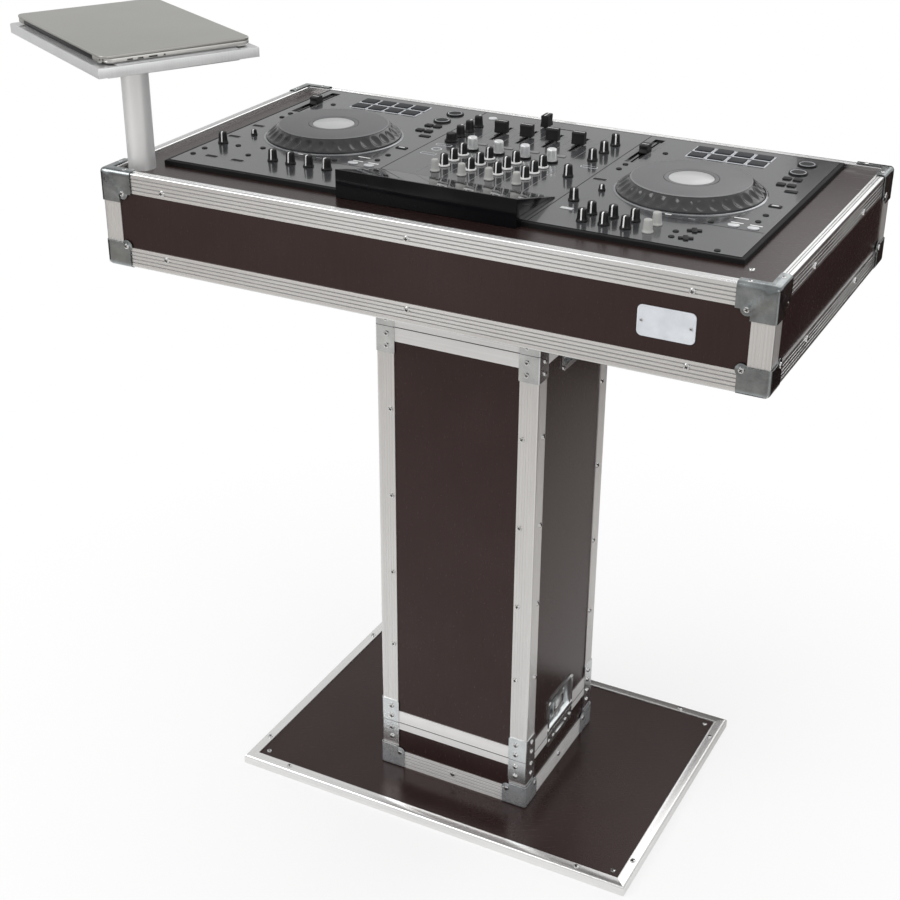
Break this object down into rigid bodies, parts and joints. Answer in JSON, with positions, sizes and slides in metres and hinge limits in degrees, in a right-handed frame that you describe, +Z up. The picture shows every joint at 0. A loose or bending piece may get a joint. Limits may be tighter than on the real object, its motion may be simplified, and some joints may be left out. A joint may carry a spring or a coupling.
{
  "type": "dj booth",
  "caption": "Flight-case style DJ booth: a square column on a flat foot carries a tray with a mixing console and a swivelling pole tray for a laptop.",
  "frame": {"origin": "on the floor, on the axis of the column, in the plane of the foot plate's underside", "axes": "+Z up; -Y towards the audience; the DJ stands at +Y; the laptop stand is on the -X side"},
  "size_m": [1.178, 0.6918, 1.2483],
  "materials": {
    "film_faced_board": "dark brown phenolic film, satin",
    "edge_profile": "satin anodised extrusion",
    "zinc_steel": "bright zinc-plated pressed steel",
    "batten_wood": "planed softwood",
    "pole_tube": "satin drawn tube",
    "laptop_shell": "fine bead-blasted silver",
    "console_shell": "black moulded",
    "console_plate": "dark grey, satin gloss",
    "screen_frame": "piano black",
    "screen_pane": "dark glossy display glass",
    "jog_rubber": "soft black rim, grey plate",
    "black_knob": "soft black with pale pointer",
    "silver_knob": "metallised silver",
    "grey_knob": "light warm grey",
    "fader_black": "satin black",
    "button_gloss": "translucent dark button"
  },
  "bodies": {
    "booth": {"foot_plate": "film_faced_board", "foot_edging": "edge_profile", "case_panels": "film_faced_board", "socket_edging": "edge_profile", "closing_rims": "edge_profile", "corner_angles": "edge_profile", "corner_braces": "zinc_steel", "latch_dishes": "zinc_steel", "tray_panels": "film_faced_board", "tray_floor": "film_faced_board", "tray_deck": "film_faced_board", "tray_battens": "batten_wood", "tray_edging": "edge_profile", "corner_caps": "zinc_steel", "pole_socket": "edge_profile", "console_case": "console_shell", "console_face": "console_plate", "screen_housing": "screen_frame", "screen_glass": "screen_pane", "deck_controls": "button_gloss"},
    "laptop_stand": {"laptop_pole": "pole_tube", "laptop_tray_board": "edge_profile", "laptop_tray_edging": "edge_profile", "laptop_base": "laptop_shell"},
    "laptop_lid": {"laptop_lid": "laptop_shell"},
    "latch_wing_lower_right": {"latch_wing_lower_right": "zinc_steel"},
    "latch_wing_lower_left": {"latch_wing_lower_left": "zinc_steel"},
    "latch_wing_upper_right": {"latch_wing_upper_right": "zinc_steel"},
    "latch_wing_upper_left": {"latch_wing_upper_left": "zinc_steel"},
    "jog_wheel_left": {"jog_wheel_left": "jog_rubber"},
    "pitch_fader_left": {"pitch_fader_left": "fader_black"},
    "play_button_left": {"play_button_left": "button_gloss"},
    "jog_wheel_right": {"jog_wheel_right": "jog_rubber"},
    "pitch_fader_right": {"pitch_fader_right": "fader_black"},
    "play_button_right": {"play_button_right": "button_gloss"},
    "channel_fader_1": {"channel_fader_1": "fader_black"},
    "trim_knob_1": {"trim_knob_1": "grey_knob"},
    "high_knob_1": {"high_knob_1": "black_knob"},
    "mid_knob_1": {"mid_knob_1": "black_knob"},
    "low_knob_1": {"low_knob_1": "black_knob"},
    "colour_knob_1": {"colour_knob_1": "silver_knob"},
    "channel_fader_2": {"channel_fader_2": "fader_black"},
    "trim_knob_2": {"trim_knob_2": "grey_knob"},
    "high_knob_2": {"high_knob_2": "black_knob"},
    "mid_knob_2": {"mid_knob_2": "black_knob"},
    "low_knob_2": {"low_knob_2": "black_knob"},
    "colour_knob_2": {"colour_knob_2": "silver_knob"},
    "channel_fader_3": {"channel_fader_3": "fader_black"},
    "trim_knob_3": {"trim_knob_3": "grey_knob"},
    "high_knob_3": {"high_knob_3": "black_knob"},
    "mid_knob_3": {"mid_knob_3": "black_knob"},
    "low_knob_3": {"low_knob_3": "black_knob"},
    "colour_knob_3": {"colour_knob_3": "silver_knob"},
    "channel_fader_4": {"channel_fader_4": "fader_black"},
    "trim_knob_4": {"trim_knob_4": "grey_knob"},
    "high_knob_4": {"high_knob_4": "black_knob"},
    "mid_knob_4": {"mid_knob_4": "black_knob"},
    "low_knob_4": {"low_knob_4": "black_knob"},
    "colour_knob_4": {"colour_knob_4": "silver_knob"},
    "crossfader": {"crossfader": "fader_black"}
  },
  "joints": [
    {"name": "stand_swivel", "type": "hinge", "parent": "booth", "child": "laptop_stand", "pos_m": [-0.47, -0.23, 1.1], "axis": [0, 0, 1], "continuous": true},
    {"name": "lid_hinge", "type": "hinge", "parent": "laptop_stand", "child": "laptop_lid", "pos_m": [-0.52105, -0.32324, 1.2407], "axis": [0.8771, -0.4802, 0], "range_deg": [0, 105]},
    {"name": "latch_wing_lower_right_fold", "type": "hinge", "parent": "booth", "child": "latch_wing_lower_right", "pos_m": [0.1285, 0, 0.125], "axis": [0, 1, 0], "range_deg": [0, 90]},
    {"name": "latch_wing_lower_left_fold", "type": "hinge", "parent": "booth", "child": "latch_wing_lower_left", "pos_m": [-0.1285, 0, 0.125], "axis": [0, -1, 0], "range_deg": [0, 90]},
    {"name": "latch_wing_upper_right_fold", "type": "hinge", "parent": "booth", "child": "latch_wing_upper_right", "pos_m": [0.1285, 0, 0.806], "axis": [0, -1, 0], "range_deg": [0, 90]},
    {"name": "latch_wing_upper_left_fold", "type": "hinge", "parent": "booth", "child": "latch_wing_upper_left", "pos_m": [-0.1285, 0, 0.806], "axis": [0, 1, 0], "range_deg": [0, 90]},
    {"name": "jog_left_spin", "type": "hinge", "parent": "booth", "child": "jog_wheel_left", "pos_m": [-0.297, 0.026, 1.049], "axis": [0, 0, 1], "continuous": true},
    {"name": "pitch_left_slide", "type": "slide", "parent": "booth", "child": "pitch_fader_left", "axis": [0, 1, 0], "range_m": [-0.05, 0.05]},
    {"name": "play_left_press", "type": "slide", "parent": "booth", "child": "play_button_left", "axis": [0, 0, -1], "range_m": [0, 0.0015], "stiffness_N_per_m": 800},
    {"name": "jog_right_spin", "type": "hinge", "parent": "booth", "child": "jog_wheel_right", "pos_m": [0.285, 0.026, 1.049], "axis": [0, 0, 1], "continuous": true},
    {"name": "pitch_right_slide", "type": "slide", "parent": "booth", "child": "pitch_fader_right", "axis": [0, 1, 0], "range_m": [-0.05, 0.05]},
    {"name": "play_right_press", "type": "slide", "parent": "booth", "child": "play_button_right", "axis": [0, 0, -1], "range_m": [0, 0.0015], "stiffness_N_per_m": 800},
    {"name": "channel_1_slide", "type": "slide", "parent": "booth", "child": "channel_fader_1", "axis": [0, 1, 0], "range_m": [-0.03, 0.03]},
    {"name": "trim_1_turn", "type": "hinge", "parent": "booth", "child": "trim_knob_1", "pos_m": [-0.07375, -0.061, 1.049], "axis": [0, 0, 1], "range_deg": [-150, 150]},
    {"name": "high_1_turn", "type": "hinge", "parent": "booth", "child": "high_knob_1", "pos_m": [-0.07375, -0.032, 1.049], "axis": [0, 0, 1], "range_deg": [-150, 150]},
    {"name": "mid_1_turn", "type": "hinge", "parent": "booth", "child": "mid_knob_1", "pos_m": [-0.07375, -0.0015, 1.049], "axis": [0, 0, 1], "range_deg": [-150, 150]},
    {"name": "low_1_turn", "type": "hinge", "parent": "booth", "child": "low_knob_1", "pos_m": [-0.07375, 0.029, 1.049], "axis": [0, 0, 1], "range_deg": [-150, 150]},
    {"name": "colour_1_turn", "type": "hinge", "parent": "booth", "child": "colour_knob_1", "pos_m": [-0.07375, 0.0595, 1.049], "axis": [0, 0, 1], "range_deg": [-150, 150]},
    {"name": "channel_2_slide", "type": "slide", "parent": "booth", "child": "channel_fader_2", "axis": [0, 1, 0], "range_m": [-0.03, 0.03]},
    {"name": "trim_2_turn", "type": "hinge", "parent": "booth", "child": "trim_knob_2", "pos_m": [-0.03025, -0.061, 1.049], "axis": [0, 0, 1], "range_deg": [-150, 150]},
    {"name": "high_2_turn", "type": "hinge", "parent": "booth", "child": "high_knob_2", "pos_m": [-0.03025, -0.032, 1.049], "axis": [0, 0, 1], "range_deg": [-150, 150]},
    {"name": "mid_2_turn", "type": "hinge", "parent": "booth", "child": "mid_knob_2", "pos_m": [-0.03025, -0.0015, 1.049], "axis": [0, 0, 1], "range_deg": [-150, 150]},
    {"name": "low_2_turn", "type": "hinge", "parent": "booth", "child": "low_knob_2", "pos_m": [-0.03025, 0.029, 1.049], "axis": [0, 0, 1], "range_deg": [-150, 150]},
    {"name": "colour_2_turn", "type": "hinge", "parent": "booth", "child": "colour_knob_2", "pos_m": [-0.03025, 0.0595, 1.049], "axis": [0, 0, 1], "range_deg": [-150, 150]},
    {"name": "channel_3_slide", "type": "slide", "parent": "booth", "child": "channel_fader_3", "axis": [0, 1, 0], "range_m": [-0.03, 0.03]},
    {"name": "trim_3_turn", "type": "hinge", "parent": "booth", "child": "trim_knob_3", "pos_m": [0.01325, -0.061, 1.049], "axis": [0, 0, 1], "range_deg": [-150, 150]},
    {"name": "high_3_turn", "type": "hinge", "parent": "booth", "child": "high_knob_3", "pos_m": [0.01325, -0.032, 1.049], "axis": [0, 0, 1], "range_deg": [-150, 150]},
    {"name": "mid_3_turn", "type": "hinge", "parent": "booth", "child": "mid_knob_3", "pos_m": [0.01325, -0.0015, 1.049], "axis": [0, 0, 1], "range_deg": [-150, 150]},
    {"name": "low_3_turn", "type": "hinge", "parent": "booth", "child": "low_knob_3", "pos_m": [0.01325, 0.029, 1.049], "axis": [0, 0, 1], "range_deg": [-150, 150]},
    {"name": "colour_3_turn", "type": "hinge", "parent": "booth", "child": "colour_knob_3", "pos_m": [0.01325, 0.0595, 1.049], "axis": [0, 0, 1], "range_deg": [-150, 150]},
    {"name": "channel_4_slide", "type": "slide", "parent": "booth", "child": "channel_fader_4", "axis": [0, 1, 0], "range_m": [-0.03, 0.03]},
    {"name": "trim_4_turn", "type": "hinge", "parent": "booth", "child": "trim_knob_4", "pos_m": [0.05675, -0.061, 1.049], "axis": [0, 0, 1], "range_deg": [-150, 150]},
    {"name": "high_4_turn", "type": "hinge", "parent": "booth", "child": "high_knob_4", "pos_m": [0.05675, -0.032, 1.049], "axis": [0, 0, 1], "range_deg": [-150, 150]},
    {"name": "mid_4_turn", "type": "hinge", "parent": "booth", "child": "mid_knob_4", "pos_m": [0.05675, -0.0015, 1.049], "axis": [0, 0, 1], "range_deg": [-150, 150]},
    {"name": "low_4_turn", "type": "hinge", "parent": "booth", "child": "low_knob_4", "pos_m": [0.05675, 0.029, 1.049], "axis": [0, 0, 1], "range_deg": [-150, 150]},
    {"name": "colour_4_turn", "type": "hinge", "parent": "booth", "child": "colour_knob_4", "pos_m": [0.05675, 0.0595, 1.049], "axis": [0, 0, 1], "range_deg": [-150, 150]},
    {"name": "crossfader_slide", "type": "slide", "parent": "booth", "child": "crossfader", "axis": [1, 0, 0], "range_m": [-0.0035, 0.0415]}
  ]
}
